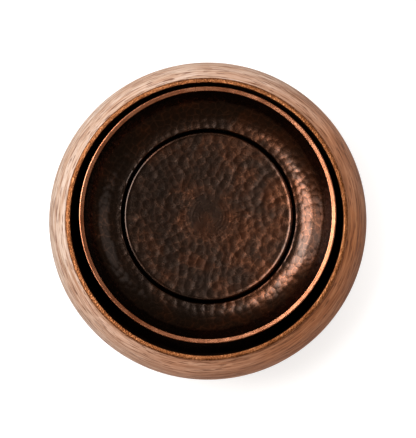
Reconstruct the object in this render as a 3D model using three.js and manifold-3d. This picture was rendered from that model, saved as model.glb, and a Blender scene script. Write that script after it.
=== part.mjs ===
import * as THREE from "three";
import { mergeVertices } from "three/addons/utils/BufferGeometryUtils.js";
import Module from "manifold-3d";

// A tabletop overflow fountain, in millimetres, +Z up, with the power socket at the back (+Y).
// The origin is on the table, on the vessel's axis. A wooden vessel holds a copper tub of water.
// A pump on the tub's floor lifts the water through a fitting in a loose copper basin. The water
// spreads under the basin's centre disc, rises through the ring slot round it, fills the basin,
// spills over the basin's rim and falls back into the tub.

const wasm = await Module();
wasm.setup();

// ---- Clearances ----
const gap = 0.3; // between pieces that touch
const shaftGap = 0.15; // round the rotor shaft
const looseGap = 0.5; // round pieces that lift or slide out
const over = 1; // how far a cut reaches past the face it leaves

// ---- Wooden shell ----
const bellyRadius = 162;
const bellyHeight = 60;
const shellWall = 9;
const shellFloor = 10; // thickness of the ring that the tub stands on
const shellFootRadius = 118;
const shellFootHeight = 3; // underside above the table
const shellBoreRadius = 96; // opening in the shell's floor
const cavityFloorRadius = 126;
const mouthLand = 4; // straight stretch inside the mouth
const shoulderTurn = 1.08; // radians that the shoulder turns from vertical
const heelTurn = 1.36;

// ---- Copper tub with its rolled lip ----
const mouthRadius = 136; // clear radius inside the lip
const lipHeight = 110; // top of the lip above the table
const lipBead = 5.4; // width of the roll
const lipArris = 0.7; // rounding of the roll's inner edge
const lipShoulder = Math.PI / 3.6; // where the flattened top meets the roll's round side, from level
const tubWall = 1.2;
const tubCorner = 18;

// ---- Base ----
const plateRadius = 106;
const plateThickness = 3;
const baseScrewCircle = 101;
const baseScrewLength = 8;
const baseScrewCount = 4;
const rubberFootCircle = 82;
const rubberFootRadius = 9;
const rubberFootCount = 4;
const footChamfer = 0.8;
const footPegRadius = 2.4;
const footBarb = 1; // barb wider than the peg
const footBarbLength = 2.3;

// ---- Basin ----
const worksShift = [1, 4]; // the loose works stand a little off the vessel's axis
const basinRimRadius = 128; // outside of the bright band
const rimRise = 1.5; // band's top above the lip's top
const basinDepth = 46; // band's top to the floor's upper face
const basinWall = 1.2;
const bandWidth = 4.5;
const bandHeight = 5;
const bandLip = 0.9; // thickness of the band's inner leg
const bandCap = 1.3; // thickness over the basin's edge
const bandTilt = 0.25; // inner edge of the band's top below the outer edge
const bandInnerRound = 0.6;
const bandOuterRound = 0.8;
const edgeGap = 0.45; // each side of the basin's edge inside the band
const edgeStraight = 1; // upright stretch of the wall below the band
const basinTurn = 1.4; // radians that the wall turns from level to the rim
const basinSteps = 6;
const stepCorner = 5;
const stepHeight = 12; // floor's upper face to the foot of the wall
const stepNose = 2.4; // rounding where the step meets the wall
const discRadius = 86;
const ringSlot = 2.2; // water slot round the disc
const discSheet = 1.5;
const discCrest = 11.7; // crest above the basin's floor
const discDish = 2.2; // centre below the crest
const discCrestWidth = 8; // from the crest to the disc's edge
const discDishStep = 45; // radius of the dish's middle ring of facets
const discSkirt = 4.5;
// The bead at the disc's edge: distance in from the edge, and height above the crest.
const discBead = [
  [3.5, 0.2],
  [2.4, 0.35],
  [0.7, -0.8],
  [0, -2.6],
];
const spacerCircle = 60;
const spacerRadius = 4;
const spacerCount = 3;
const spacerChamfer = 0.8;

// ---- Water outlet and riser ----
const spigotRadius = 4.5; // the pump's nozzle has the same size
const spigotBore = 3.2;
const spigotDrop = 11.7; // spigot's end below the basin's floor
const threadRadius = 5.2;
const flangeRadius = 13;
const flangeThickness = 1.5;
const flangeBevel = 0.5;
const sealThickness = 1.5;
const nutRadius = 9;
const nutThickness = 3.5;
const threadPastNut = 0.5;
const riserWall = 1.7;
const riserGrip = 5.2; // length of spigot inside the riser
const clipHeight = 4;
const clipWall = 1.2;
const clipRise = 1.5; // clip above the riser's lower end
const clipTab = [5, 2.2]; // length of the finger tabs, and half the width of the pair
const clipSlit = 1; // half the slit between them
const clipRoot = 0.5; // tabs start inside the band
const riserClear = 1; // riser's lower end above the pump
const nozzleClear = 1.8; // nozzle's end below the spigot's

// ---- Stand ----
const postCount = 3;
const postTurn = Math.PI / 3; // first post, from +X
const postCircle = 67;
const postRadius = 5;
const standRingInner = 56;
const standRingOuter = 73;
const standRingThickness = 2.5;
const basinGasketInner = 57.5;
const basinGasketOuter = 61.5;
const basinGasketThickness = 2;
const padRadius = 7.5;
const padThickness = 2.5;
const padHeight = 5.5;
const padTaper = 0.6;
const postScrewLength = 12;

// ---- Screws ----
const screwHeadRadius = 3.2;
const screwHeadHeight = 1.8;
const screwRadius = 1.5;
const screwKeyRadius = 1.3;
const screwKeyDepth = 1.4;
const screwPoint = 1; // length of the tapered point

// ---- Pump (front -Y, rotor axis along Y) ----
const pumpWidth = 42;
const pumpHeight = 25;
const pumpCornerRadius = 4;
const cupHeight = 5;
const cupRadius = 7.5;
const cupColumn = 14; // half the spacing across
const cupRows = [14, 47];
const cupRim = 1.6; // height of the hollow under a cup, and width of its rim
const cupNeck = 1.4; // neck wider than the peg
const cupNeckHeight = 1.2;
const cupPegRadius = 1.8;
const cupPegLength = 1.2;
const motorFront = 8;
const motorLength = 46;
const motorWall = 2;
const motorFace = 2.5;
const wellRadius = 7;
const wellWall = 1;
const wellEnd = 29;
const wellRoot = 0.5; // well starts inside the motor's face
const wellCap = 1.5; // thickness of the well's closed end
const backCoverThickness = 2.5;
const chamberRadius = 9;
const chamberWall = 1.2;
const chamberFront = -9.3;
const chamberFace = 1.8;
const chamberFlange = 2.2;
const bossWall = 1.1; // round the front bush
const bossRise = 1.2; // boss behind the chamber's face
const bossRoot = 0.5;
const bushSkin = 0.4; // chamber's face left in front of the bush
const inletPortCount = 4;
const inletPortRadius = 1.7;
const inletPortCircle = 5.6;
const coverFront = -21;
const coverWall = 1.8;
const coverSlotCount = 3; // on each side of the dial
const coverSlotPitch = 2.8;
const coverSlotStart = 2; // first slot beyond the dial
const coverSlotHalf = [0.7, 7]; // half width and half height
const spongeSlack = 1; // sponge smaller than the strainer's inside
const spongeFront = -17.6;
const dialRadius = 9.5;
const dialThickness = 2.2;
const dialRib = 3.5;
const dialRibHalf = 1.2;
const dialRibInset = 1.5; // rib's ends inside the dial's edge
const dialRoot = 0.5; // rib and pivot start inside the dial
const dialHead = 0.9; // pivot's head: wider than the pivot, and its thickness
const dialPivotRadius = 1.6;
const dialPortRadius = 2.6;
const dialPortCircle = 6.4;
const dialPortCount = 3;
const magnetRadius = 6.3;
const magnetBore = 3.3;
const magnetFront = 9.5;
const magnetLength = 16;
const impellerRadius = 7.8;
const impellerFront = -4.2;
const impellerPlate = [3, 4.5];
const impellerTail = 0.6; // sleeve behind the magnet
const vaneCount = 5;
const vaneThickness = 1;
const vaneRoot = [0.8, 0.5]; // vanes start inside the sleeve, and end inside the plate
const vaneSetback = [0.2, 1]; // vanes inside the plate's edge, and behind the sleeve's front
const shaftRadius = 1;
const shaftSpan = [-8.2, 28.4];
const bushRadius = 2.6;
const frontBushLength = 2;
const rearBushLength = 1.9;
const coreThickness = 12;
const coreSpan = [11.2, 50];
const coilSpan = [32, 42.4];
const coilBuild = 2.8;
const coreToWell = 0.4;
const coreYoke = 7; // depth of the bar that joins the pole legs at the back

// ---- Pump lead, its gland and the power socket ----
const leadRadius = 1.8;
const leadHoleRadius = 2.3;
const leadHeight = 26;
const leadInTub = [
  [1, 56, 26],
  [1, 64, 26],
  [1, 72, 26],
  [1, 80, 24.5],
  [-1, 88, 20.5],
  [-6, 95, 18.2],
  [-13, 100, 19.5],
  [-19, 103.5, 25],
  [-22.5, 105.3, 33],
  [-24.2, 106.6, 41],
  [-25.6, 108.8, 47.2],
  [-27.1, 112.8, 49.8],
  [-28.2, 117.7, 50],
  [-29.9, 124.5, 50],
  [-31.5, 131.3, 50],
  [-33.4, 139, 50],
  [-33.9, 141.6, 50],
];
// The lead's last stretch, with y measured from the end of the socket's tail.
const leadAtSocket = [
  [-33.2, 4.1, 50],
  [-30, 6.1, 50],
  [-24, 6.3, 50],
  [-17, 4.8, 50],
  [-11, 2.7, 50],
  [-6.5, 1.8, 50],
  [-2.8, 1.8, 50],
];
const leadSteps = 42;
const leadSides = 8;
const leadBootLength = 9;
const bootFlange = 0.8; // boot wider than its bore in the cover, and at its end
const bootShoulder = 2.7; // boot wider than its bore behind the cover
const bootHoleGap = 1.1; // cover's hole round the lead
const passHeight = 50; // gland and socket above the table
const glandThreadRadius = 4.7;
const glandHexRadius = 8;
const glandHeadLength = 4;
const glandCapLength = 7;
const glandNutLength = 3.2;
const glandEnd = 143;
const glandSealThickness = 2;
const glandSealInset = 0.8;
const glandCapInset = 1.2;
const glandCapLip = 1.5;
const glandCapStraight = 3;
const socketRecess = 4.2; // shell's surface to the socket's seat
const socketLand = 6.1; // wood between the socket's flange and its nut
const socketCounterbore = 1; // counterbores wider than the flange
const socketFlangeRadius = 7.5;
const socketFlange = 2;
const socketBarrelRadius = 5.5;
const socketBarrelLength = 12.8;
const socketBore = 2.8;
const socketDepth = 9;
const socketPinRadius = 1;
const socketPinRecess = 1;
const socketTailRadius = 2.5;
const socketTailLength = 4;
const socketNutThickness = 3;

// ---- Facets ----
const largeSides = 40;
const mediumSides = 16;
const smallSides = 12;
const hexSides = 6;

// ---- Heights that follow from the sizes above ----
const fullTurn = 2 * Math.PI;
const shellFloorTop = shellFootHeight + shellFloor;
const shellTop = lipHeight - lipBead - gap;
const tubFloorTop = shellFloorTop + gap + tubWall;
const rimTop = lipHeight + rimRise;
const basinFloor = rimTop - basinDepth;
const basinUnder = basinFloor - basinWall;
const basinGasketBottom = basinUnder - gap - basinGasketThickness;
const standRingTop = basinGasketBottom - gap;
const standRingBottom = standRingTop - standRingThickness;
const pumpBottom = tubFloorTop + gap + cupHeight;
const pumpAxis = pumpBottom + pumpHeight / 2;
const pumpTop = pumpBottom + pumpHeight;
const motorBack = motorFront + motorLength;
const spigotEnd = basinFloor - spigotDrop;
const riserTop = spigotEnd + riserGrip;
const riserBottom = pumpTop + riserClear;
const nozzleTop = spigotEnd - nozzleClear;
const glandTurn = (1.5 * fullTurn) / largeSides; // faces the middle of one of the tub's flats
const tubFlatInner = mouthRadius * Math.cos(Math.PI / largeSides);

// ---- Finishes ----
function finish(color, roughness, metalness) {
  return new THREE.MeshStandardMaterial({ color, roughness, metalness });
}

const wood = () => finish(0xa9764f, 0.6, 0);
const lipCopper = () => finish(0x9a623c, 0.5, 0.9);
const darkCopper = () => finish(0x2e1a12, 0.35, 0.9);
const brightCopper = () => finish(0xc98357, 0.25, 1);
const steel = () => finish(0xb9bcc0, 0.35, 1);
const blackSteel = () => finish(0x202224, 0.55, 0.6);
const rubber = () => finish(0x161616, 0.85, 0);
const blackPlastic = () => finish(0x1b1c1e, 0.5, 0);
const greyPlastic = () => finish(0x55585c, 0.5, 0);
const clearTube = () => finish(0xc9d2d4, 0.3, 0);
const sponge = () => finish(0x2b2f33, 0.95, 0);
const windingCopper = () => finish(0xb5623a, 0.4, 0.9);
const ferrite = () => finish(0x3a3a3c, 0.6, 0.3);
const ceramic = () => finish(0xe8e6e0, 0.2, 0);
const brass = () => finish(0xb8923f, 0.35, 1);

// ---- Shape helpers ----
function closedMesh(geometry) {
  geometry.deleteAttribute("normal");
  geometry.deleteAttribute("uv");
  const merged = mergeVertices(geometry, 1e-4);
  const kept = [];
  const index = merged.index.array;
  for (let i = 0; i < index.length; i += 3) {
    const [a, b, c] = [index[i], index[i + 1], index[i + 2]];
    if (a !== b && b !== c && c !== a) {
      kept.push(a, b, c);
    }
  }
  merged.setIndex(kept);
  return merged;
}

function toSolid(geometry) {
  const merged = closedMesh(geometry);
  const vertProperties = new Float32Array(merged.attributes.position.array);
  const triVerts = new Uint32Array(merged.index.array);
  return new wasm.Manifold(new wasm.Mesh({ numProp: 3, vertProperties, triVerts }));
}

function toGeometry(solid) {
  const mesh = solid.getMesh();
  const geometry = new THREE.BufferGeometry();
  geometry.setAttribute("position", new THREE.BufferAttribute(mesh.vertProperties, 3));
  geometry.setIndex(new THREE.BufferAttribute(mesh.triVerts, 1));
  return geometry;
}

// Joins `parts`, then takes `cuts` away.
function carve(parts, cuts) {
  let solid = toSolid(parts[0]);
  for (const part of parts.slice(1)) {
    solid = solid.add(toSolid(part));
  }
  for (const cut of cuts) {
    solid = solid.subtract(toSolid(cut));
  }
  return toGeometry(solid);
}

function point(x, y) {
  return new THREE.Vector2(x, y);
}

// Turns a closed outline of (radius, height) points about +Y, whichever way round it is listed.
function turnedY(outline, sides) {
  let doubleArea = 0;
  outline.forEach((from, i) => {
    const to = outline[(i + 1) % outline.length];
    doubleArea += from.x * to.y - to.x * from.y;
  });
  const points = doubleArea > 0 ? [...outline] : [...outline].reverse();
  const onAxis = points.filter((p) => p.x === 0).length;
  if (onAxis > 0) {
    while (!(points[0].x === 0 && points[points.length - 1].x === 0)) {
      points.push(points.shift());
    }
  } else {
    points.push(points[0].clone());
  }
  return closedMesh(new THREE.LatheGeometry(points, sides));
}

// Turns an outline about +Z, and moves it to (x, y).
function turnedZ(outline, sides, x = 0, y = 0) {
  return turnedY(outline, sides).rotateX(Math.PI / 2).translate(x, y, 0);
}

function rodZ(radius, low, high, sides, x = 0, y = 0) {
  return turnedZ([point(0, low), point(radius, low), point(radius, high), point(0, high)], sides, x, y);
}

function rodY(radius, low, high, sides, x = 0, z = 0) {
  const outline = [point(0, low), point(radius, low), point(radius, high), point(0, high)];
  return turnedY(outline, sides).translate(x, 0, z);
}

function ringZ(inner, outer, low, high, sides) {
  return turnedZ([point(inner, low), point(outer, low), point(outer, high), point(inner, high)], sides);
}

function ringY(inner, outer, low, high, sides) {
  return turnedY([point(inner, low), point(outer, low), point(outer, high), point(inner, high)], sides);
}

function block(low, high) {
  const size = high.map((value, i) => value - low[i]);
  const centre = high.map((value, i) => (value + low[i]) / 2);
  return new THREE.BoxGeometry(...size).translate(...centre);
}

// A bar along Y with a rounded rectangular section, centred on the axis.
function roundedBar(width, height, radius, low, high) {
  const [x, z] = [width / 2, height / 2];
  const shape = new THREE.Shape();
  shape.moveTo(-x + radius, -z);
  shape.lineTo(x - radius, -z);
  shape.absarc(x - radius, -z + radius, radius, -Math.PI / 2, 0);
  shape.absarc(x - radius, z - radius, radius, 0, Math.PI / 2);
  shape.absarc(-x + radius, z - radius, radius, Math.PI / 2, Math.PI);
  shape.absarc(-x + radius, -z + radius, radius, Math.PI, 1.5 * Math.PI);
  const settings = { depth: high - low, bevelEnabled: false, curveSegments: 3 };
  return new THREE.ExtrudeGeometry(shape, settings).rotateX(Math.PI / 2).translate(0, high, 0);
}

// An elliptic arc that leaves `from` vertically and reaches `to` after turning by `turn`.
function flank(from, to, turn, steps) {
  const across = (from.x - to.x) / (1 - Math.cos(turn));
  const along = (to.y - from.y) / Math.sin(turn);
  const points = [];
  for (let i = 0; i <= steps; i += 1) {
    const angle = (turn * i) / steps;
    points.push(point(from.x - across * (1 - Math.cos(angle)), from.y + along * Math.sin(angle)));
  }
  return points;
}

// A circular arc from one angle to another.
function arc(centre, radius, start, end, steps) {
  const points = [];
  for (let i = 0; i <= steps; i += 1) {
    const angle = start + ((end - start) * i) / steps;
    points.push(point(centre.x + radius * Math.cos(angle), centre.y + radius * Math.sin(angle)));
  }
  return points;
}

// Closes a line that starts on the axis into a sheet: the second face lies `wall` below it.
function sheet(line, wall) {
  const under = line.map((here, i) => {
    const before = line[Math.max(i - 1, 0)];
    const after = line[Math.min(i + 1, line.length - 1)];
    const run = after.clone().sub(before).normalize();
    return here.x === 0 ? point(0, here.y - wall) : point(here.x + run.y * wall, here.y - run.x * wall);
  });
  return [...line, ...under.reverse()];
}

function circlePlaces(count, radius, firstAngle) {
  return Array.from({ length: count }, (_, i) => {
    const angle = firstAngle + (fullTurn * i) / count;
    return [radius * Math.cos(angle), radius * Math.sin(angle)];
  });
}

function addMesh(parent, name, geometry, material) {
  const mesh = new THREE.Mesh(geometry, material);
  mesh.name = name;
  parent.add(mesh);
  return mesh;
}

// A countersunk screw pointing up, with its head's face at height `head` and a hex key hole.
function countersunkScrew(head, length) {
  const outline = [
    point(0, head),
    point(screwHeadRadius, head),
    point(screwRadius, head + screwHeadHeight),
    point(screwRadius, head + length - screwPoint),
    point(screwRadius / 2, head + length),
    point(0, head + length),
  ];
  const key = rodZ(screwKeyRadius, head - over, head + screwKeyDepth, hexSides);
  return carve([turnedZ(outline, smallSides)], [key]);
}

// The matching countersunk hole through a plate, with its wide end at height `head`.
function countersunkHole(head, thickness, x, y) {
  const wide = screwHeadRadius + gap;
  const outline = [
    point(0, head - over),
    point(wide + over, head - over),
    point(screwRadius + gap, head + screwHeadHeight),
    point(screwRadius + gap, head + thickness + over),
    point(0, head + thickness + over),
  ];
  return turnedZ(outline, smallSides, x, y);
}

// ---- Wooden shell ----
const shellBelly = point(bellyRadius, bellyHeight);
const shellFoot = point(shellFootRadius, shellFootHeight);
const plateSeat = shellFootHeight + plateThickness + gap;
const baseScrewPlaces = circlePlaces(baseScrewCount, baseScrewCircle, 0);

// Outer radius of the shell at a height below the belly.
function shellRadiusAt(height) {
  const along = (bellyHeight - shellFootHeight) / Math.sin(heelTurn);
  const across = (bellyRadius - shellFootRadius) / (1 - Math.cos(heelTurn));
  const angle = Math.asin((bellyHeight - height) / along);
  return bellyRadius - across * (1 - Math.cos(angle));
}

const socketSeat = shellRadiusAt(passHeight) - socketRecess;
const socketNutSeat = socketSeat - socketLand;
const socketBarrelEnd = socketSeat + gap - socketBarrelLength;
const socketTailEnd = socketBarrelEnd - socketTailLength;

function outerShell() {
  const boreRadius = mouthRadius + tubWall + gap;
  const cavityBelly = point(bellyRadius - shellWall, bellyHeight);
  const shoulder = flank(shellBelly, point(mouthRadius + lipBead, shellTop), shoulderTurn, 5);
  const heel = flank(shellBelly, shellFoot, heelTurn, 5);
  const innerShoulder = flank(cavityBelly, point(boreRadius, shellTop - mouthLand), shoulderTurn, 3);
  const innerHeel = flank(cavityBelly, point(cavityFloorRadius, shellFloorTop), heelTurn, 5);
  const outline = [
    ...heel.reverse(),
    ...shoulder.slice(1),
    point(boreRadius, shellTop),
    ...innerShoulder.reverse(),
    ...innerHeel.slice(1),
    point(shellBoreRadius, shellFloorTop),
    point(shellBoreRadius, plateSeat),
    point(plateRadius + gap, plateSeat),
    point(plateRadius + gap, shellFootHeight),
  ];
  const pilotTop = shellFootHeight + baseScrewLength + over;
  const cuts = baseScrewPlaces.map(([x, y]) => rodZ(screwRadius + gap, 0, pilotTop, smallSides, x, y));
  const outside = bellyRadius + over;
  const counterbore = socketFlangeRadius + socketCounterbore;
  cuts.push(rodY(socketBarrelRadius + gap, mouthRadius, outside, smallSides, 0, passHeight));
  cuts.push(rodY(counterbore, socketSeat, outside, mediumSides, 0, passHeight));
  cuts.push(rodY(counterbore, mouthRadius, socketNutSeat, mediumSides, 0, passHeight));
  return carve([turnedZ(outline, largeSides)], cuts);
}

// ---- Copper tub ----
function reservoirLiner() {
  const cornerCentre = point(mouthRadius - tubCorner, tubFloorTop + tubCorner);
  const beadRadius = lipBead / 2;
  const beadCentre = point(mouthRadius + beadRadius, lipHeight - beadRadius);
  const beadClose = -Math.PI + Math.acos((beadRadius - tubWall) / beadRadius);
  const arrisCentre = point(mouthRadius + lipArris, lipHeight - lipArris);
  const outline = [
    point(0, tubFloorTop),
    ...arc(cornerCentre, tubCorner, -Math.PI / 2, 0, 3),
    ...arc(arrisCentre, lipArris, Math.PI, Math.PI / 2, 2),
    ...arc(beadCentre, beadRadius, lipShoulder, beadClose, 5),
    ...arc(cornerCentre, tubCorner + tubWall, 0, -Math.PI / 2, 3),
    point(0, tubFloorTop - tubWall),
  ];
  const [inside, outside] = [mouthRadius - tubCorner, mouthRadius + tubCorner];
  const hole = rodY(glandThreadRadius + gap, inside, outside, smallSides, 0, passHeight);
  return carve([turnedZ(outline, largeSides)], [hole.rotateZ(glandTurn)]);
}

// ---- Base ----
const rubberFootPlaces = circlePlaces(rubberFootCount, rubberFootCircle, Math.PI / 4);
const footHead = shellFootHeight - gap;

function basePlate() {
  const plateTop = shellFootHeight + plateThickness;
  const plate = rodZ(plateRadius, shellFootHeight, plateTop, largeSides);
  const screwHoles = baseScrewPlaces.map(([x, y]) => countersunkHole(shellFootHeight, plateThickness, x, y));
  const footHoles = rubberFootPlaces.map(([x, y]) =>
    rodZ(footPegRadius + gap, 0, plateTop + over, smallSides, x, y));
  return carve([plate], [...screwHoles, ...footHoles]);
}

function rubberFoot() {
  const barb = shellFootHeight + plateThickness + gap;
  const outline = [
    point(0, 0),
    point(rubberFootRadius - footChamfer, 0),
    point(rubberFootRadius, footChamfer),
    point(rubberFootRadius, footHead),
    point(footPegRadius, footHead),
    point(footPegRadius, barb),
    point(footPegRadius + footBarb, barb),
    point(footPegRadius - gap, barb + footBarbLength),
    point(0, barb + footBarbLength),
  ];
  return turnedZ(outline, smallSides);
}

// ---- Basin ----
const basinEdge = basinRimRadius - bandWidth + bandLip + edgeGap; // inner face at the rim
const stepRadius = discRadius + ringSlot;

function basinLine() {
  const stepTop = basinFloor + stepHeight;
  const wallStart = stepRadius + stepNose;
  const wallTop = rimTop - bandHeight - edgeStraight;
  const across = (basinEdge - wallStart) / Math.sin(basinTurn);
  const along = (wallTop - stepTop) / (1 - Math.cos(basinTurn));
  const wall = [];
  for (let i = 1; i <= basinSteps; i += 1) {
    const angle = (basinTurn * i) / basinSteps;
    wall.push(point(wallStart + across * Math.sin(angle), stepTop + along * (1 - Math.cos(angle))));
  }
  return [
    point(0, basinFloor),
    ...arc(point(stepRadius - stepCorner, basinFloor + stepCorner), stepCorner, -Math.PI / 2, 0, 2),
    ...arc(point(stepRadius + stepNose, stepTop - stepNose), stepNose, Math.PI, Math.PI / 2, 2),
    ...wall,
    point(basinEdge, rimTop - bandCap - gap),
  ];
}

function basin() {
  const hole = rodZ(threadRadius + gap, basinUnder - over, basinFloor + over, smallSides);
  return carve([turnedZ(sheet(basinLine(), basinWall), largeSides)], [hole]);
}

function basinRimBand() {
  const inner = basinRimRadius - bandWidth;
  const slotInner = inner + bandLip;
  const slotOuter = basinEdge + basinWall + edgeGap;
  const bottom = rimTop - bandHeight;
  const innerTop = rimTop - bandTilt;
  const outline = [
    point(inner, bottom),
    point(inner, innerTop - bandInnerRound),
    point(inner + bandInnerRound, innerTop),
    point(basinRimRadius - bandOuterRound, rimTop),
    point(basinRimRadius, rimTop - bandOuterRound),
    point(basinRimRadius, bottom),
    point(slotOuter, bottom),
    point(slotOuter, rimTop - bandCap),
    point(slotInner, rimTop - bandCap),
    point(slotInner, bottom),
  ];
  return turnedZ(outline, largeSides);
}

// Height of the disc's upper face at a radius inside its crest.
function discTopAt(radius) {
  const share = radius / (discRadius - discCrestWidth);
  return basinFloor + discCrest - discDish * (1 - share * share);
}

function diffuserDisc() {
  const crest = basinFloor + discCrest;
  const line = [
    ...[0, discDishStep].map((radius) => point(radius, discTopAt(radius))),
    point(discRadius - discCrestWidth, crest),
    ...discBead.map(([inset, rise]) => point(discRadius - inset, crest + rise)),
    point(discRadius, crest - discSkirt),
  ];
  return turnedZ(sheet(line, discSheet), largeSides);
}

function discSpacer() {
  const top = discTopAt(spacerCircle - spacerRadius) - discSheet - gap;
  const outline = [
    point(0, basinFloor + gap),
    point(spacerRadius, basinFloor + gap),
    point(spacerRadius, top - spacerChamfer),
    point(spacerRadius - spacerChamfer, top),
    point(0, top),
  ];
  return turnedZ(outline, smallSides);
}

// ---- Water outlet and riser ----
const outletSealBottom = basinFloor + gap;
const flangeBottom = outletSealBottom + sealThickness + gap;
const outletNutTop = basinUnder - gap;

function outletFitting() {
  const threadEnd = outletNutTop - nutThickness - threadPastNut;
  const outline = [
    point(spigotBore, spigotEnd),
    point(spigotRadius, spigotEnd),
    point(spigotRadius, threadEnd),
    point(threadRadius, threadEnd),
    point(threadRadius, flangeBottom),
    point(flangeRadius, flangeBottom),
    point(flangeRadius - flangeBevel, flangeBottom + flangeThickness),
    point(spigotBore, flangeBottom + flangeThickness),
  ];
  return turnedZ(outline, mediumSides);
}

function outletGasket() {
  const outer = flangeRadius - 2 * flangeBevel;
  const top = outletSealBottom + sealThickness;
  return ringZ(threadRadius + gap, outer, outletSealBottom, top, mediumSides);
}

// A hex nut about +Z.
function hexNut(radius, bore, low, high) {
  return carve([rodZ(radius, low, high, hexSides)], [rodZ(bore, low - over, high + over, smallSides)]);
}

function riserTube() {
  const bore = spigotRadius + gap;
  return ringZ(bore, bore + riserWall, riserBottom, riserTop, mediumSides);
}

// A spring band with two finger tabs and a slit between them.
function hoseClip() {
  const inner = spigotRadius + gap + riserWall + gap;
  const outer = inner + clipWall;
  const low = riserBottom + clipRise;
  const high = low + clipHeight;
  const [tabLength, tabHalf] = clipTab;
  const tabEnd = outer + tabLength;
  const tabs = block([outer - clipRoot, -tabHalf, low], [tabEnd, tabHalf, high]);
  const slit = block([0, -clipSlit, low - over], [tabEnd + over, clipSlit, high + over]);
  const bore = rodZ(inner, low - over, high + over, mediumSides);
  return carve([rodZ(outer, low, high, mediumSides), tabs], [bore, slit]);
}

// ---- Stand ----
const padBottom = tubFloorTop + gap;
const postBottom = padBottom + padThickness + gap;
const postTop = standRingBottom - gap;
const postPlaces = circlePlaces(postCount, postCircle, postTurn);

function supportRing() {
  const ring = ringZ(standRingInner, standRingOuter, standRingBottom, standRingTop, largeSides);
  const holes = postPlaces.map(([x, y]) =>
    countersunkHole(0, standRingThickness, 0, 0).rotateX(Math.PI).translate(x, y, standRingTop));
  return carve([ring], holes);
}

function standPost() {
  const threadEnd = standRingTop - postScrewLength - over;
  const thread = rodZ(screwRadius + gap, threadEnd, postTop + over, smallSides);
  return carve([rodZ(postRadius, postBottom, postTop, smallSides)], [thread]);
}

function postPad() {
  const outline = [
    point(0, padBottom),
    point(padRadius, padBottom),
    point(padRadius - padTaper, padBottom + padHeight),
    point(postRadius + gap, padBottom + padHeight),
    point(postRadius + gap, padBottom + padThickness),
    point(0, padBottom + padThickness),
  ];
  return turnedZ(outline, smallSides);
}

function ringScrew() {
  return countersunkScrew(0, postScrewLength).rotateX(Math.PI).translate(0, 0, standRingTop);
}

// ---- Pump ----
const cavityWidth = pumpWidth - 2 * motorWall;
const cavityHeight = pumpHeight - 2 * motorWall;
const halfPump = pumpHeight / 2;
const cupPlaces = cupRows.flatMap((y) => [[-cupColumn, y], [cupColumn, y]]);
const leadDrop = leadHeight - pumpAxis;

function pumpBody() {
  const outside = roundedBar(pumpWidth, pumpHeight, pumpCornerRadius, motorFront, motorBack);
  const face = motorFront + motorFace;
  const corner = pumpCornerRadius - motorWall;
  const room = roundedBar(cavityWidth, cavityHeight, corner, face, motorBack + over);
  const well = rodY(wellRadius + wellWall, motorFront + wellRoot, wellEnd + wellCap, mediumSides);
  const bore = rodY(wellRadius, motorFront - over, wellEnd, mediumSides);
  const pegTop = cupPegLength + gap - halfPump;
  const pegHoles = cupPlaces.map(([x, y]) =>
    rodZ(cupPegRadius + gap, -halfPump - over, pegTop, smallSides, x, y));
  const shell = toSolid(outside).subtract(toSolid(room)).add(toSolid(well)).subtract(toSolid(bore));
  return toGeometry(pegHoles.reduce((body, hole) => body.subtract(toSolid(hole)), shell));
}

function motorBackCover() {
  const low = motorBack + gap;
  const high = low + backCoverThickness;
  const plate = roundedBar(pumpWidth, pumpHeight, pumpCornerRadius, low, high);
  const hole = rodY(leadHoleRadius + bootHoleGap, low - over, high + over, smallSides, 0, leadDrop);
  return carve([plate], [hole]);
}

// A U of laminations: the pole legs stand each side of the rotor's well, and each winding just
// clears the side of the housing.
const coreInner = wellRadius + wellWall + coreToWell;
const coreOuter = cavityWidth / 2 - looseGap - coilBuild - gap;

function statorCore() {
  const half = coreThickness / 2;
  const [front, back] = coreSpan;
  const whole = block([-coreOuter, front, -half], [coreOuter, back, half]);
  const slotLow = [-coreInner, front - over, -half - over];
  const slot = block(slotLow, [coreInner, back - coreYoke, half + over]);
  return carve([whole], [slot]);
}

// One winding round a pole leg; `side` is -1 on the left and 1 on the right.
function statorCoil(side) {
  const inner = coreInner - gap;
  const outer = coreOuter + gap;
  const half = coreThickness / 2 + gap;
  const [front, back] = coilSpan;
  const build = coilBuild;
  const winding = block([inner - build, front, -half - build], [outer + build, back, half + build]);
  const hole = block([inner, front - over, -half], [outer, back + over, half]);
  const across = (inner + outer) / 2;
  const centre = (side * across) - across;
  return carve([winding.translate(centre, 0, 0)], [hole.translate(centre, 0, 0)]);
}

// The chamber's axis is the rotor's; the nozzle points up from it.
function impellerHousing() {
  const outer = chamberRadius + chamberWall;
  const back = motorFront - gap;
  const chamber = rodY(outer, chamberFront, back, mediumSides);
  const flange = roundedBar(pumpWidth, pumpHeight, pumpCornerRadius, back - chamberFlange, back);
  const nozzle = rodZ(spigotRadius, chamberRadius, nozzleTop - pumpAxis, mediumSides);
  const faceBack = chamberFront + chamberFace;
  const room = rodY(chamberRadius, faceBack, back + over, mediumSides);
  const boss = rodY(bushRadius + bossWall, chamberFront + bossRoot, faceBack + bossRise, smallSides);
  const bushHole = rodY(bushRadius + gap, chamberFront + bushSkin, back, smallSides);
  const shaftHole = rodY(shaftRadius + gap, chamberFront - over, back, smallSides);
  const riser = rodZ(spigotBore, 0, nozzleTop - pumpAxis + over, mediumSides);
  const ports = circlePlaces(inletPortCount, inletPortCircle, Math.PI / 4).map(([x, z]) =>
    rodY(inletPortRadius, chamberFront - over, faceBack + bossRoot, smallSides, x, z));
  const shell = carve([chamber, flange, nozzle], [room, riser]);
  return carve([shell, boss], [bushHole, shaftHole, ...ports]);
}

const bushBore = shaftRadius + shaftGap;

function frontBush() {
  const front = chamberFront + bushSkin + gap;
  return ringY(bushBore, bushRadius, front, front + frontBushLength, smallSides);
}

function rearBush() {
  const back = wellEnd - gap;
  return ringY(bushBore, wellRadius - gap, back - rearBushLength, back, mediumSides);
}

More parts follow.
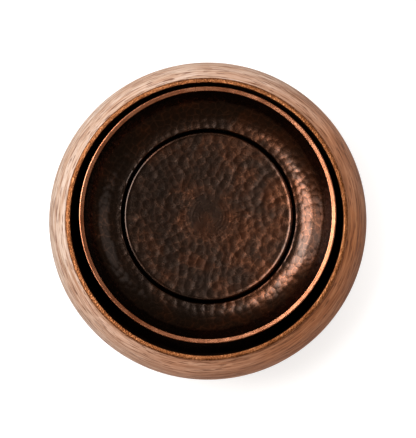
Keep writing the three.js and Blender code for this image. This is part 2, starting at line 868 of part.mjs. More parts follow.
function impeller() {
  const [plateFront, plateBack] = impellerPlate;
  const sleeve = magnetBore - gap;
  const back = magnetFront + magnetLength + impellerTail;
  const hub = rodY(sleeve, impellerFront, back, smallSides);
  const plate = rodY(impellerRadius, plateFront, plateBack, mediumSides);
  const vanes = Array.from({ length: vaneCount }, (_, i) => {
    const low = [sleeve - vaneRoot[0], impellerFront + vaneSetback[1], -vaneThickness / 2];
    const high = [impellerRadius - vaneSetback[0], plateFront + vaneRoot[1], vaneThickness / 2];
    return block(low, high).rotateY((fullTurn * i) / vaneCount);
  });
  return carve([hub, plate, ...vanes], [rodY(bushBore, impellerFront - over, back + over, smallSides)]);
}

function rotorMagnet() {
  return ringY(magnetBore, magnetRadius, magnetFront, magnetFront + magnetLength, mediumSides);
}

const coverHoleRadius = dialPivotRadius + gap;
const dialPorts = circlePlaces(dialPortCount, dialPortCircle, Math.PI / 2);

// The strainer: a cup open at the back, with a notch for the nozzle so that it slides off forwards.
function intakeCover() {
  const back = motorFront - gap - chamberFlange - gap;
  const inside = coverFront + coverWall;
  const outsideBar = roundedBar(pumpWidth, pumpHeight, pumpCornerRadius, coverFront, back);
  const [width, height] = [pumpWidth - 2 * coverWall, pumpHeight - 2 * coverWall];
  const room = roundedBar(width, height, pumpCornerRadius - coverWall, inside, back + over);
  const notchHalf = spigotRadius + looseGap;
  const notch = block([-notchHalf, -notchHalf, 0], [notchHalf, back + over, halfPump + over]);
  const [cutFront, cutBack] = [coverFront - over, inside + over];
  const pivotHole = rodY(coverHoleRadius, cutFront, cutBack, smallSides);
  const ports = dialPorts.map(([x, z]) => rodY(dialPortRadius, cutFront, cutBack, smallSides, x, z));
  const [halfWidth, halfHeight] = coverSlotHalf;
  const slots = [-1, 1].flatMap((side) => Array.from({ length: coverSlotCount }, (_, i) => {
    const x = side * (dialRadius + coverSlotStart + coverSlotPitch * i);
    return block([x - halfWidth, cutFront, -halfHeight], [x + halfWidth, cutBack, halfHeight]);
  }));
  return carve([outsideBar], [room, notch, pivotHole, ...ports, ...slots]);
}

function filterSponge() {
  const width = pumpWidth - 2 * coverWall - spongeSlack;
  const height = pumpHeight - 2 * coverWall - spongeSlack;
  return roundedBar(width, height, pumpCornerRadius - coverWall, spongeFront, chamberFront - looseGap);
}

// The regulator snaps through the strainer's face on its pivot and turns over its ports.
function flowDial() {
  const back = coverFront - gap;
  const front = back - dialThickness;
  const inside = coverFront + coverWall + gap;
  const disc = rodY(dialRadius, front, back, mediumSides);
  const ribFront = front - dialRib;
  const ribReach = dialRadius - dialRibInset;
  const rib = block([-dialRibHalf, ribFront, -ribReach], [dialRibHalf, front + dialRoot, ribReach]);
  const pivot = rodY(dialPivotRadius, back - dialRoot, inside + dialRoot, smallSides);
  const head = rodY(dialPivotRadius + dialHead, inside, inside + dialHead, smallSides);
  const ports = dialPorts.map(([x, z]) =>
    rodY(dialPortRadius, ribFront - over, back + gap / 2, smallSides, x, z));
  return carve([disc, rib, pivot, head], ports);
}

function suctionCup() {
  const top = pumpBottom - gap;
  const low = tubFloorTop + gap;
  const pegTop = pumpBottom + cupPegLength;
  const outline = [
    point(0, low + cupRim),
    point(cupRadius - cupRim, low),
    point(cupRadius, low),
    point(cupPegRadius + cupNeck, top - cupNeckHeight),
    point(cupPegRadius + cupNeck, top),
    point(cupPegRadius, top),
    point(cupPegRadius, pegTop),
    point(0, pegTop),
  ];
  return turnedZ(outline, smallSides);
}

// ---- Lead, gland and power socket ----
function leadBoot() {
  const neck = motorBack + gap;
  const shoulder = neck + backCoverThickness + gap;
  const end = shoulder + leadBootLength;
  const outline = [
    point(leadHoleRadius, neck),
    point(leadHoleRadius + bootFlange, neck),
    point(leadHoleRadius + bootFlange, shoulder),
    point(leadHoleRadius + bootShoulder, shoulder),
    point(leadHoleRadius + bootFlange, end),
    point(leadHoleRadius, end),
  ];
  return turnedY(outline, smallSides).translate(0, 0, leadHeight);
}

function pumpLead() {
  const points = [...leadInTub, ...leadAtSocket.map(([x, y, z]) => [x, y + socketTailEnd, z])];
  const curve = new THREE.CatmullRomCurve3(points.map((p) => new THREE.Vector3(...p)));
  const section = new THREE.Shape(
    circlePlaces(leadSides, leadRadius, Math.PI / leadSides).map(([x, y]) => point(x, y)));
  return new THREE.ExtrudeGeometry(section, { steps: leadSteps, extrudePath: curve, bevelEnabled: false });
}

const glandHeadBack = tubFlatInner - gap - glandSealThickness - gap;
const glandHeadFront = glandHeadBack - glandHeadLength;

function hexAlongY(radius, bore, low, high) {
  return carve([rodY(radius, low, high, hexSides)], [rodY(bore, low - over, high + over, smallSides)]);
}

function glandBody() {
  const head = rodY(glandHexRadius, glandHeadFront, glandHeadBack, hexSides);
  const thread = rodY(glandThreadRadius, glandHeadFront, glandEnd, smallSides);
  const bore = rodY(leadHoleRadius, glandHeadFront - over, glandEnd + over, smallSides);
  return carve([head, thread], [bore]);
}

function glandSeal() {
  const low = glandHeadBack + gap;
  const outer = glandHexRadius - glandSealInset;
  return ringY(glandThreadRadius + gap, outer, low, low + glandSealThickness, smallSides);
}

function glandCap() {
  const back = glandHeadFront - gap;
  const front = back - glandCapLength;
  const outer = glandHexRadius - glandCapInset;
  const outline = [
    point(leadHoleRadius, front),
    point(leadHoleRadius + glandCapLip, front),
    point(outer, back - glandCapStraight),
    point(outer, back),
    point(leadHoleRadius, back),
  ];
  return turnedY(outline, smallSides);
}

function glandNut() {
  const low = mouthRadius + tubWall + gap;
  return hexAlongY(glandHexRadius, glandThreadRadius + gap, low, low + glandNutLength);
}

function dcInlet() {
  const seat = socketSeat + gap;
  const face = seat + socketFlange;
  const outline = [
    point(0, face - socketPinRecess),
    point(socketPinRadius, face - socketPinRecess),
    point(socketPinRadius, face - socketDepth),
    point(socketBore, face - socketDepth),
    point(socketBore, face),
    point(socketFlangeRadius, face),
    point(socketFlangeRadius, seat),
    point(socketBarrelRadius, seat),
    point(socketBarrelRadius, socketBarrelEnd),
    point(socketTailRadius, socketBarrelEnd),
    point(socketTailRadius, socketTailEnd),
    point(0, socketTailEnd),
  ];
  return turnedY(outline, mediumSides).translate(0, 0, passHeight);
}

function inletNut() {
  const high = socketNutSeat - gap;
  const nut = hexAlongY(socketFlangeRadius, socketBarrelRadius + gap, high - socketNutThickness, high);
  return nut.translate(0, 0, passHeight);
}

// ---- Assembly ----
const fountain = new THREE.Group();
fountain.name = "tabletop_water_fountain";

const vessel = new THREE.Group();
fountain.add(vessel);
addMesh(vessel, "outer_shell", outerShell(), wood());
addMesh(vessel, "reservoir_liner", reservoirLiner(), lipCopper());
addMesh(vessel, "base_plate", basePlate(), blackSteel());
baseScrewPlaces.forEach(([x, y], i) => {
  const screw = countersunkScrew(shellFootHeight, baseScrewLength);
  addMesh(vessel, `base_screw_${i + 1}`, screw, steel()).position.set(x, y, 0);
});
rubberFootPlaces.forEach(([x, y], i) => {
  addMesh(vessel, `rubber_foot_${i + 1}`, rubberFoot(), rubber()).position.set(x, y, 0);
});

const gland = new THREE.Group();
gland.rotation.z = glandTurn;
gland.position.z = passHeight;
vessel.add(gland);
addMesh(gland, "gland_body", glandBody(), blackPlastic());
addMesh(gland, "gland_seal", glandSeal(), rubber());
addMesh(gland, "gland_cap", glandCap(), blackPlastic());
addMesh(gland, "gland_nut", glandNut(), blackPlastic());
addMesh(vessel, "dc_inlet", dcInlet(), blackPlastic());
addMesh(vessel, "inlet_nut", inletNut(), steel());
addMesh(vessel, "pump_lead", pumpLead(), rubber());

const works = new THREE.Group();
works.position.set(...worksShift, 0);
fountain.add(works);

addMesh(works, "support_ring", supportRing(), steel());
addMesh(works, "basin_gasket", ringZ(
  basinGasketInner,
  basinGasketOuter,
  basinGasketBottom,
  basinGasketBottom + basinGasketThickness,
  largeSides,
), rubber());
postPlaces.forEach(([x, y], i) => {
  addMesh(works, `stand_post_${i + 1}`, standPost(), steel()).position.set(x, y, 0);
  addMesh(works, `post_pad_${i + 1}`, postPad(), rubber()).position.set(x, y, 0);
  addMesh(works, `ring_screw_${i + 1}`, ringScrew(), steel()).position.set(x, y, 0);
});

const pump = new THREE.Group();
pump.position.z = pumpAxis;
works.add(pump);
addMesh(pump, "pump_body", pumpBody(), blackPlastic());
addMesh(pump, "motor_back_cover", motorBackCover(), blackPlastic());
addMesh(pump, "stator_core", statorCore(), steel());
addMesh(pump, "stator_coil_left", statorCoil(-1), windingCopper());
addMesh(pump, "stator_coil_right", statorCoil(1), windingCopper());
addMesh(pump, "impeller_housing", impellerHousing(), blackPlastic());
addMesh(pump, "front_bush", frontBush(), rubber());
addMesh(pump, "rear_bush", rearBush(), rubber());
addMesh(pump, "rotor_shaft", rodY(shaftRadius, ...shaftSpan, smallSides), ceramic());
addMesh(pump, "impeller", impeller(), greyPlastic());
addMesh(pump, "rotor_magnet", rotorMagnet(), ferrite());
addMesh(pump, "intake_cover", intakeCover(), blackPlastic());
addMesh(pump, "filter_sponge", filterSponge(), sponge());
addMesh(pump, "flow_dial", flowDial(), greyPlastic());
cupPlaces.forEach(([x, y], i) => {
  addMesh(works, `suction_cup_${i + 1}`, suctionCup(), rubber()).position.set(x, y, 0);
});
addMesh(works, "lead_boot", leadBoot(), rubber());
addMesh(works, "riser_tube", riserTube(), clearTube());
addMesh(works, "hose_clip", hoseClip(), steel());

addMesh(works, "basin", basin(), darkCopper());
addMesh(works, "basin_rim_band", basinRimBand(), brightCopper());
addMesh(works, "diffuser_disc", diffuserDisc(), darkCopper());
circlePlaces(spacerCount, spacerCircle, Math.PI / 2).forEach(([x, y], i) => {
  addMesh(works, `disc_spacer_${i + 1}`, discSpacer(), brass()).position.set(x, y, 0);
});
addMesh(works, "outlet_fitting", outletFitting(), blackPlastic());
addMesh(works, "outlet_gasket", outletGasket(), rubber());
addMesh(works, "outlet_nut", hexNut(
  nutRadius,
  threadRadius + gap,
  outletNutTop - nutThickness,
  outletNutTop,
), blackPlastic());

export default fountain;
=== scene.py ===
import math
import random

import bpy
import numpy as np
from mathutils import Matrix, Vector, kdtree, noise


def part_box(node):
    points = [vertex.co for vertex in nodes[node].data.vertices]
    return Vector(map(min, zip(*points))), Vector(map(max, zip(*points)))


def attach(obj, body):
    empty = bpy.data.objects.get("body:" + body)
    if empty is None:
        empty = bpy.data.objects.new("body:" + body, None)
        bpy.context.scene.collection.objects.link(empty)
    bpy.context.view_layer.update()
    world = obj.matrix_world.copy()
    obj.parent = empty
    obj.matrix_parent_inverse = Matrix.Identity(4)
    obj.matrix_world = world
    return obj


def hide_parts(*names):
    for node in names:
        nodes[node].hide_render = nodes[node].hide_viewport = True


# The looks of a tabletop overflow fountain: a turned wooden vessel with a copper tub, and in it a
# hammered copper basin whose rim the water spills over. Profiles are in millimetres in the CAD
# model's frame, and become metres as each mesh is made.

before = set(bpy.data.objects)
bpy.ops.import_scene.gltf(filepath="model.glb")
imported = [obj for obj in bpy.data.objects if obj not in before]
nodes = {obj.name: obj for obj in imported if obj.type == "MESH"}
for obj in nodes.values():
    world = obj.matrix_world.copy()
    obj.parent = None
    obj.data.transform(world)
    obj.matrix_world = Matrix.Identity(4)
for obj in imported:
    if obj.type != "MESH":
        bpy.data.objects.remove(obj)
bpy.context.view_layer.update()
METRES = 0.001
FULL_TURN = 2 * math.pi
WORKS = (1.0, 4.0)  # axis of the basin, its stand and the pump


# ---- Profiles ----
def arc(centre, radius, start, end, steps):
    """Points on a circular arc, from one angle in degrees to another."""
    angles = np.radians(np.linspace(start, end, steps + 1))
    return [(centre[0] + radius * math.cos(a), centre[1] + radius * math.sin(a)) for a in angles]


def flank(start, end, turn, steps):
    """Points on an elliptic arc that leaves start vertically and reaches end after turning by turn."""
    across = (start[0] - end[0]) / (1 - math.cos(turn))
    along = (end[1] - start[1]) / math.sin(turn)
    angles = np.linspace(0, turn, steps + 1)
    return [(start[0] - across * (1 - math.cos(a)), start[1] + along * math.sin(a)) for a in angles]


def line(start, end, steps):
    """Evenly spaced points from start to end, with both ends."""
    return [tuple(p) for p in np.linspace(start, end, steps + 1)]


def outward_of(profile):
    """The unit direction out of the solid at each point of a closed profile."""
    points = np.array(profile, float)
    ahead, behind = np.roll(points, -1, 0), np.roll(points, 1, 0)
    area = np.sum(points[:, 0] * ahead[:, 1] - ahead[:, 0] * points[:, 1])
    run = (ahead - behind) * math.copysign(1, area)
    out = np.stack([run[:, 1], -run[:, 0]], 1)
    return out / np.maximum(np.linalg.norm(out, axis=1), 1e-9)[:, None], area > 0


# ---- Meshes ----
def piece(name, vertices, faces, material, body, slot, *stands_for, sharp=50):
    """A smooth-shaded object from vertices in millimetres, riding on a body."""
    mesh = bpy.data.meshes.new(name)
    mesh.from_pydata(np.asarray(vertices) * METRES, [], faces)
    mesh.polygons.foreach_set("use_smooth", [True] * len(mesh.polygons))
    mesh.set_sharp_from_angle(angle=math.radians(sharp))
    mesh.materials.append(material)
    made = bpy.data.objects.new(name, mesh)
    bpy.context.scene.collection.objects.link(made)
    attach(made, body)
    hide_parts(*stands_for)
    return made


def turned(profile, sides, centre=(0, 0), relief=None):
    """Vertices and faces of a closed profile turned about +Z.

    relief(row, angle, points) gives how far each vertex moves out of the solid, in millimetres."""
    out, forward = outward_of(profile)
    rows = np.array(profile, float)
    if not forward:
        rows, out = rows[::-1], out[::-1]
    if relief and not forward:
        raise ValueError("a profile with relief is listed counterclockwise")
    count = len(rows)
    angle = np.arange(sides) * FULL_TURN / sides
    ring = np.stack([np.cos(angle), np.sin(angle)], 1)
    radius = np.repeat(rows[:, 0], sides)
    height = np.repeat(rows[:, 1], sides)
    around = np.tile(ring, (count, 1))
    points = np.concatenate([around * radius[:, None], height[:, None]], 1)
    if relief:
        push = relief(np.repeat(np.arange(count), sides), np.tile(angle, count), points)
        points[:, :2] += around * (push * np.repeat(out[:, 0], sides))[:, None]
        points[:, 2] += push * np.repeat(out[:, 1], sides)
    points[:, :2] += centre
    on_axis = rows[:, 0] == 0
    index = np.arange(count * sides).reshape(count, sides)
    index[on_axis] = index[on_axis, :1]
    faces = []
    for i in range(count):
        here, there = index[i], index[(i + 1) % count]
        if on_axis[i] and on_axis[(i + 1) % count]:
            continue
        for a, b, c, d in zip(here, np.roll(here, -1), np.roll(there, -1), there):
            faces.append([v for n, v in enumerate((a, b, c, d)) if v not in (a, b, c, d)[:n]])
    used = np.unique(np.concatenate([np.array(f) for f in faces]))
    renumber = np.full(count * sides, -1)
    renumber[used] = np.arange(len(used))
    return points[used], [[int(renumber[v]) for v in f] for f in faces], used


def bored(made, *cutters):
    """Cuts each (vertices, faces) body out of an object's mesh."""
    for i, (vertices, faces) in enumerate(cutters):
        mesh = bpy.data.meshes.new(f"cutter_{i}")
        mesh.from_pydata(np.asarray(vertices) * METRES, [], faces)
        tool = bpy.data.objects.new(f"cutter_{i}", mesh)
        bpy.context.scene.collection.objects.link(tool)
        cut = made.modifiers.new("bore", "BOOLEAN")
        cut.operation = "DIFFERENCE"
        cut.solver = "EXACT"
        cut.object = tool
        seen = made.evaluated_get(bpy.context.evaluated_depsgraph_get())
        result = bpy.data.meshes.new_from_object(seen)
        made.modifiers.clear()
        made.data = result
        bpy.data.objects.remove(tool)
    return made


def rod_along(direction, radius, low, high, height, sides=48):
    """Vertices and faces of a rod about a level axis that leaves the vessel's axis at an angle."""
    vertices, faces, _ = turned([(0, low), (radius, low), (radius, high), (0, high)], sides)
    c, s = math.cos(direction), math.sin(direction)
    out, across = vertices[:, 2], vertices[:, 0]
    level = np.stack([out * c - across * s, out * s + across * c, vertices[:, 1] + height], 1)
    return level, faces


# ---- Hammer marks ----
def strike_rows(path, pitch, mark, draw):
    """Hammer blows in rows round the axis: (x, y, z, radius of the mark, depth share) for each.

    path gives (radius, height) at a distance along the sheet, and its length."""
    place, length = path
    blows = []
    along = pitch * 0.35
    while along < length:
        radius = place(along)[0]
        around = max(3, round(FULL_TURN * radius / (mark * 1.02)))
        phase = draw.random()
        for i in range(around):
            r, z = place(min(max(along + draw.gauss(0, 0.17) * pitch, 0), length))
            a = FULL_TURN * (i + phase + draw.gauss(0, 0.19)) / around
            size = mark / 2 * draw.uniform(1.30, 1.75)
            blows.append((r * math.cos(a), r * math.sin(a), z, size, draw.uniform(0.7, 1.2)))
        along += pitch * draw.uniform(0.9, 1.08)
    return np.array(blows)


def hammered(points, blows, depth, sharpness=42.0, ridge=0.30):
    """Height of a hammered sheet at each point, dished in each mark, and how worn it is there.

    The wear is 1 along the ridges between marks; ridge is their breadth, as a share of the depth."""
    tree = kdtree.KDTree(len(blows))
    for i, blow in enumerate(blows):
        tree.insert(blow[:3], i)
    tree.balance()
    height = np.zeros(len(points))
    worn = np.zeros(len(points))
    for n, point in enumerate(points):
        dishes = [0.0]
        for _, i, distance in tree.find_n(point, 5):
            dishes.append(depth * blows[i][4] * ((distance / blows[i][3]) ** 2 - 1))
        height[n] = -math.log(sum(math.exp(min(-sharpness * dish, 60)) for dish in dishes)) / sharpness
        dishes.sort()
        worn[n] = 1 - (dishes[1] - dishes[0]) / (depth * ridge)
    return height, np.clip(worn, 0, 1)


def ripple(points, scale, seed):
    """Smooth noise from about -1 to 1 at each point; scale is the size of its swells."""
    shift = Vector((seed * 17.3, seed * 5.1, seed * 9.7))
    return np.array([noise.noise(Vector(p) / scale + shift) for p in points])


def keep_wear(made, wear):
    """Stores how worn each vertex is, from 0 in a mark's bottom to 1 on a ridge, for the material."""
    layer = made.data.attributes.new("wear", "FLOAT", "POINT")
    layer.data.foreach_set("value", np.clip(wear, 0, 1).astype(np.float32))


# ---- Materials ----
GRAIN_TURN_RADIUS = 0.15  # radius at which a streak has its stated length


class Shader:
    """A material and short calls that add nodes to it. Lengths are in metres in the part's frame."""

    def __init__(self, name, **sockets):
        self.material = bpy.data.materials.new(name)
        self.material.use_nodes = True
        self.tree = self.material.node_tree
        self.bsdf = self.tree.nodes["Principled BSDF"]
        for socket, value in sockets.items():
            self.bsdf.inputs[socket.replace("_", " ")].default_value = value
        self.place = self.add("ShaderNodeTexCoord").outputs["Object"]
        self.normal = None

    def add(self, kind, inputs=None, **settings):
        node = self.tree.nodes.new(kind)
        for key, value in settings.items():
            setattr(node, key, value)
        for key, value in (inputs or {}).items():
            if isinstance(value, bpy.types.NodeSocket):
                self.tree.links.new(value, node.inputs[key])
            else:
                node.inputs[key].default_value = value
        return node

    def math(self, operation, a, b=0.0):
        return self.add("ShaderNodeMath", {0: a, 1: b}, operation=operation).outputs[0]

    def noise(self, size, detail=3.0, rough=0.55, distortion=0.0):
        inputs = {"Vector": self.place, "Scale": 1 / size, "Detail": detail}
        inputs.update({"Roughness": rough, "Distortion": distortion})
        return self.add("ShaderNodeTexNoise", inputs).outputs["Fac"]

    def cells(self, size, feature="F1"):
        inputs = {"Vector": self.place, "Scale": 1 / size}
        return self.add("ShaderNodeTexVoronoi", inputs, feature=feature).outputs["Distance"]

    def around(self, along, across, detail=2.0, rough=0.5, centre=(0, 0)):
        """Noise drawn out round the axis: along and across are the sizes of its streaks."""
        moved = self.add("ShaderNodeVectorMath", {0: self.place, 1: (-centre[0], -centre[1], 0)})
        split = self.add("ShaderNodeSeparateXYZ", {0: moved.outputs[0]})
        x, y, z = split.outputs
        radius = self.math("SQRT", self.math("ADD", self.math("MULTIPLY", x, x), self.math("MULTIPLY", y, y)))
        reach = GRAIN_TURN_RADIUS / along
        turn_x = self.math("MULTIPLY", self.math("DIVIDE", x, radius), reach)
        turn_y = self.math("MULTIPLY", self.math("DIVIDE", y, radius), reach)
        inputs = {0: self.math("DIVIDE", radius, across), 1: self.math("DIVIDE", z, across), 2: turn_x}
        place = self.add("ShaderNodeCombineXYZ", inputs).outputs[0]
        inputs = {"Vector": place, "W": turn_y, "Scale": 1.0, "Detail": detail, "Roughness": rough}
        return self.add("ShaderNodeTexNoise", inputs, noise_dimensions="4D").outputs["Fac"]

    def span(self, value, low, high, out_low=0.0, out_high=1.0):
        inputs = {"Value": value, "From Min": low, "From Max": high, "To Min": out_low, "To Max": out_high}
        return self.add("ShaderNodeMapRange", inputs).outputs[0]

    def ramp(self, value, *stops):
        node = self.add("ShaderNodeValToRGB", {"Fac": value})
        elements = node.color_ramp.elements
        while len(elements) < len(stops):
            elements.new(0.5)
        for element, (position, colour) in zip(elements, stops):
            element.position = position
            element.color = (*colour, 1)
        return node.outputs["Color"]

    def mix(self, factor, a, b):
        node = self.add("ShaderNodeMix", {0: factor}, data_type="RGBA")
        for socket, value in ((node.inputs[6], a), (node.inputs[7], b)):
            if isinstance(value, bpy.types.NodeSocket):
                self.tree.links.new(value, socket)
            else:
                socket.default_value = (*value, 1)
        return node.outputs[2]

    def bump(self, height, distance, strength=1.0):
        inputs = {"Height": height, "Distance": distance, "Strength": strength}
        if self.normal:
            inputs["Normal"] = self.normal
        self.normal = self.add("ShaderNodeBump", inputs).outputs[0]

    def finish(self, colour, rough=None):
        self.tree.links.new(colour, self.bsdf.inputs["Base Color"])
        if rough:
            self.tree.links.new(rough, self.bsdf.inputs["Roughness"])
        if self.normal:
            self.tree.links.new(self.normal, self.bsdf.inputs["Normal"])
        return self.material


def wood():
    """Turned wood with its grain round the shell, painted paler and greyer on the lit left and upper side and
    darker and redder on the shaded right, as painted light and shade.
    """
    s = Shader("turned_wood", Specular_IOR_Level=0.20)
    bands = s.around(0.30, 0.011, 3.0)
    streaks = s.around(0.040, 0.0026, 3.0, 0.6)
    fibres = s.around(0.016, 0.0009, 3.0, 0.6)
    pores = s.span(s.around(0.014, 0.0012, 1.0), 0.575, 0.63)
    split = s.add("ShaderNodeSeparateXYZ", {0: s.place})
    # Painted light and shade: the wood is mixed from a paler, greyer copy toward the lit left and upper side
    # (-x, +y) and a darker, redder copy toward the shaded right.
    sideways = s.math("MULTIPLY", split.outputs[0], -0.90)
    across = s.math("ADD", sideways, s.math("MULTIPLY", split.outputs[1], 0.52))
    border = s.span(s.noise(0.09), 0.3, 0.7, -0.05, 0.05)
    lit_side_share = s.span(s.math("ADD", across, border), -0.17, 0.13)
    lit_wood_tone = s.ramp(streaks, (0.36, (0.40, 0.272, 0.19)), (0.50, (0.60, 0.475, 0.38)),
                 (0.64, (0.73, 0.64, 0.56)))
    shaded_wood_tone = s.ramp(streaks, (0.36, (0.19, 0.053, 0.014)), (0.50, (0.39, 0.128, 0.040)),
                  (0.64, (0.56, 0.235, 0.092)))
    tone = s.mix(lit_side_share, shaded_wood_tone, lit_wood_tone)
    tone = s.mix(s.span(bands, 0.35, 0.68, 0.0, 0.38), tone, (0.40, 0.17, 0.085))
    tone = s.mix(s.span(fibres, 0.38, 0.62, 0.45, 0.0), tone, (0.27, 0.11, 0.050))
    tone = s.mix(s.math("MULTIPLY", pores, 0.80), tone, (0.13, 0.045, 0.020))
    s.bump(s.math("SUBTRACT", fibres, s.math("MULTIPLY", pores, 0.8)), 0.0003, 0.55)
    return s.finish(tone, s.span(streaks, 0.3, 0.7, 0.62, 0.46))


def tub_copper():
    """Antiqued copper, lighter and granular on the rolled lip; below the lip the tub is coloured very dark,
    as dark patina and painted shade for the shadowed gap under the basin.
    """
    s = Shader("tub_copper", Metallic=1.0)
    height = s.add("ShaderNodeSeparateXYZ", {0: s.place}).outputs[2]
    grain = s.cells(0.0016)
    fine = s.noise(0.0009, 2.0)
    patch = s.noise(0.018, 4.0, 0.6)
    lip = s.ramp(s.math("ADD", s.math("MULTIPLY", patch, 0.6), s.math("MULTIPLY", grain, 0.5)),
                 (0.30, (0.14, 0.043, 0.013)), (0.52, (0.31, 0.108, 0.037)), (0.76, (0.58, 0.25, 0.105)))
    # Painted shade: below the lip the tub's dark patina is darkened to near black, standing in for the shadow
    # in the gap under the basin.
    inside = s.ramp(patch, (0.35, (0.026, 0.014, 0.009)), (0.65, (0.080, 0.038, 0.022)))
    tone = s.mix(s.span(height, 0.1035, 0.1062), inside, lip)
    s.bump(grain, 0.00045, 0.8)
    s.bump(fine, 0.0002, 0.35)
    return s.finish(tone, s.span(fine, 0.3, 0.7, 0.42, 0.58))


def dark_copper():
    """Brown patina, rubbed through to redder copper where the sheet is worn, and painted redder and lighter
    toward +x, where the dish and wall face the key light, as painted light.
    """
    s = Shader("patinated_copper", Metallic=1.0, Coat_Weight=0.34, Coat_Roughness=0.20)
    wear = s.add("ShaderNodeAttribute", attribute_name="wear").outputs["Fac"]
    patch = s.noise(0.034, 4.0, 0.6, distortion=0.4)
    small = s.noise(0.006, 3.0, 0.6)
    fine = s.noise(0.0012, 2.0, 0.6)
    # Painted light: on top of random patina patches, the copper is made redder and lighter toward +x, where
    # the dished face and the wall tilt toward the key light.
    across = s.add("ShaderNodeSeparateXYZ", {0: s.place}).outputs[0]
    patina_and_lit_side = s.math("ADD", patch, s.span(across, -0.09, 0.09, -0.10, 0.18))
    base = s.ramp(patina_and_lit_side, (0.34, (0.028, 0.017, 0.0125)), (0.52, (0.045, 0.023, 0.0145)),
                  (0.74, (0.108, 0.035, 0.0140)))
    base = s.mix(s.span(small, 0.42, 0.70, 0.0, 0.5), base, (0.030, 0.018, 0.012))
    rubbed = s.math("MULTIPLY", s.span(wear, 0.25, 0.95), s.span(patch, 0.30, 0.62, 0.28, 0.66))
    bare = s.ramp(patina_and_lit_side, (0.36, (0.115, 0.072, 0.054)), (0.66, (0.27, 0.105, 0.052)))
    tone = s.mix(rubbed, base, bare)
    s.bump(small, 0.0005, 0.30)
    s.bump(fine, 0.00018, 0.30)
    rough = s.math("ADD", s.span(small, 0.3, 0.7, 0.22, 0.31), s.span(wear, 0.2, 1.0, 0.0, -0.03))
    return s.finish(tone, rough)


def bright_copper():
    s = Shader("polished_copper", Metallic=1.0)
    brushed = s.around(0.025, 0.0005, 3.0, 0.6, (WORKS[0] * METRES, WORKS[1] * METRES))
    patch = s.noise(0.022, 3.0)
    spots = s.span(s.noise(0.0028, 3.0, 0.6), 0.60, 0.72)
    tone = s.ramp(patch, (0.35, (0.56, 0.205, 0.100)), (0.65, (0.68, 0.30, 0.165)))
    tone = s.mix(s.span(brushed, 0.38, 0.64, 0.16, 0.0), tone, (0.42, 0.13, 0.050))
    tone = s.mix(s.math("MULTIPLY", spots, 0.22), tone, (0.30, 0.12, 0.055))
    s.bump(brushed, 0.00008, 0.25)
    return s.finish(tone, s.span(patch, 0.35, 0.65, 0.22, 0.28))


def plain_metal(name, dark, pale, rough, brush, grain=0.0006, **sockets):
    """Metal with fine drawn lines, faint stains and uneven gloss."""
    s = Shader(name, Metallic=1.0, **sockets)
    lines = s.around(brush, grain, 2.0)
    stain = s.noise(0.012, 4.0, 0.6)
    tone = s.ramp(stain, (0.35, dark), (0.65, pale))
    tone = s.mix(s.span(lines, 0.35, 0.65, 0.25, 0.0), tone, dark)
    s.bump(lines, 0.0001, 0.4)
    return s.finish(tone, s.span(stain, 0.35, 0.65, rough - 0.06, rough + 0.08))


def moulded(name, dark, pale, rough, texture=0.0007, depth=0.00012, **sockets):
    """Moulded plastic or rubber with a spark-eroded texture, scuffs and dust."""
    s = Shader(name, **sockets)
    skin = s.noise(texture, 2.0, 0.6)
    swirl = s.noise(0.015, 3.0)
    scuff = s.span(s.noise(0.0035, 4.0, 0.7), 0.60, 0.70)
    tone = s.ramp(swirl, (0.35, dark), (0.65, pale))
    tone = s.mix(s.math("MULTIPLY", scuff, 0.22), tone, tuple(min(1, 1.8 * c + 0.03) for c in pale))
    s.bump(skin, depth, 0.6)
    return s.finish(tone, s.span(skin, 0.3, 0.7, rough - 0.07, rough + 0.09))


def powder_coat():
    s = Shader("powder_coat", Specular_IOR_Level=0.45)
    peel = s.cells(0.0011, "SMOOTH_F1")
    patch = s.noise(0.02)
    tone = s.ramp(patch, (0.35, (0.016, 0.016, 0.018)), (0.65, (0.032, 0.032, 0.035)))
    s.bump(peel, 0.0003, 0.5)
    return s.finish(tone, s.span(peel, 0.1, 0.6, 0.42, 0.6))


def open_foam():
    s = Shader("filter_foam", Specular_IOR_Level=0.2)
    pores = s.cells(0.0013)
    tone = s.ramp(pores, (0.10, (0.010, 0.011, 0.013)), (0.50, (0.075, 0.083, 0.092)))
    s.bump(pores, 0.0012, 0.9)
    return s.finish(tone, s.span(pores, 0.1, 0.6, 0.95, 0.8))


def winding():
    s = Shader("enamelled_winding", Metallic=1.0, Coat_Weight=0.6, Coat_Roughness=0.15)
    turns = s.add("ShaderNodeTexWave", {"Vector": s.place, "Scale": 560.0, "Distortion": 0.6, "Detail": 1.0},
                  bands_direction="Y").outputs["Fac"]
    tone = s.ramp(turns, (0.15, (0.16, 0.045, 0.018)), (0.75, (0.62, 0.25, 0.11)))
    s.bump(turns, 0.0003, 0.9)
    return s.finish(tone, s.span(s.noise(0.004), 0.3, 0.7, 0.26, 0.42))


def clear_tube():
    s = Shader("silicone_tube", Transmission_Weight=0.75, IOR=1.41)
    haze = s.noise(0.006, 3.0)
    tone = s.ramp(haze, (0.35, (0.78, 0.82, 0.83)), (0.65, (0.90, 0.93, 0.94)))
    s.bump(s.noise(0.002), 0.0001, 0.3)
    return s.finish(tone, s.span(haze, 0.3, 0.7, 0.22, 0.36))


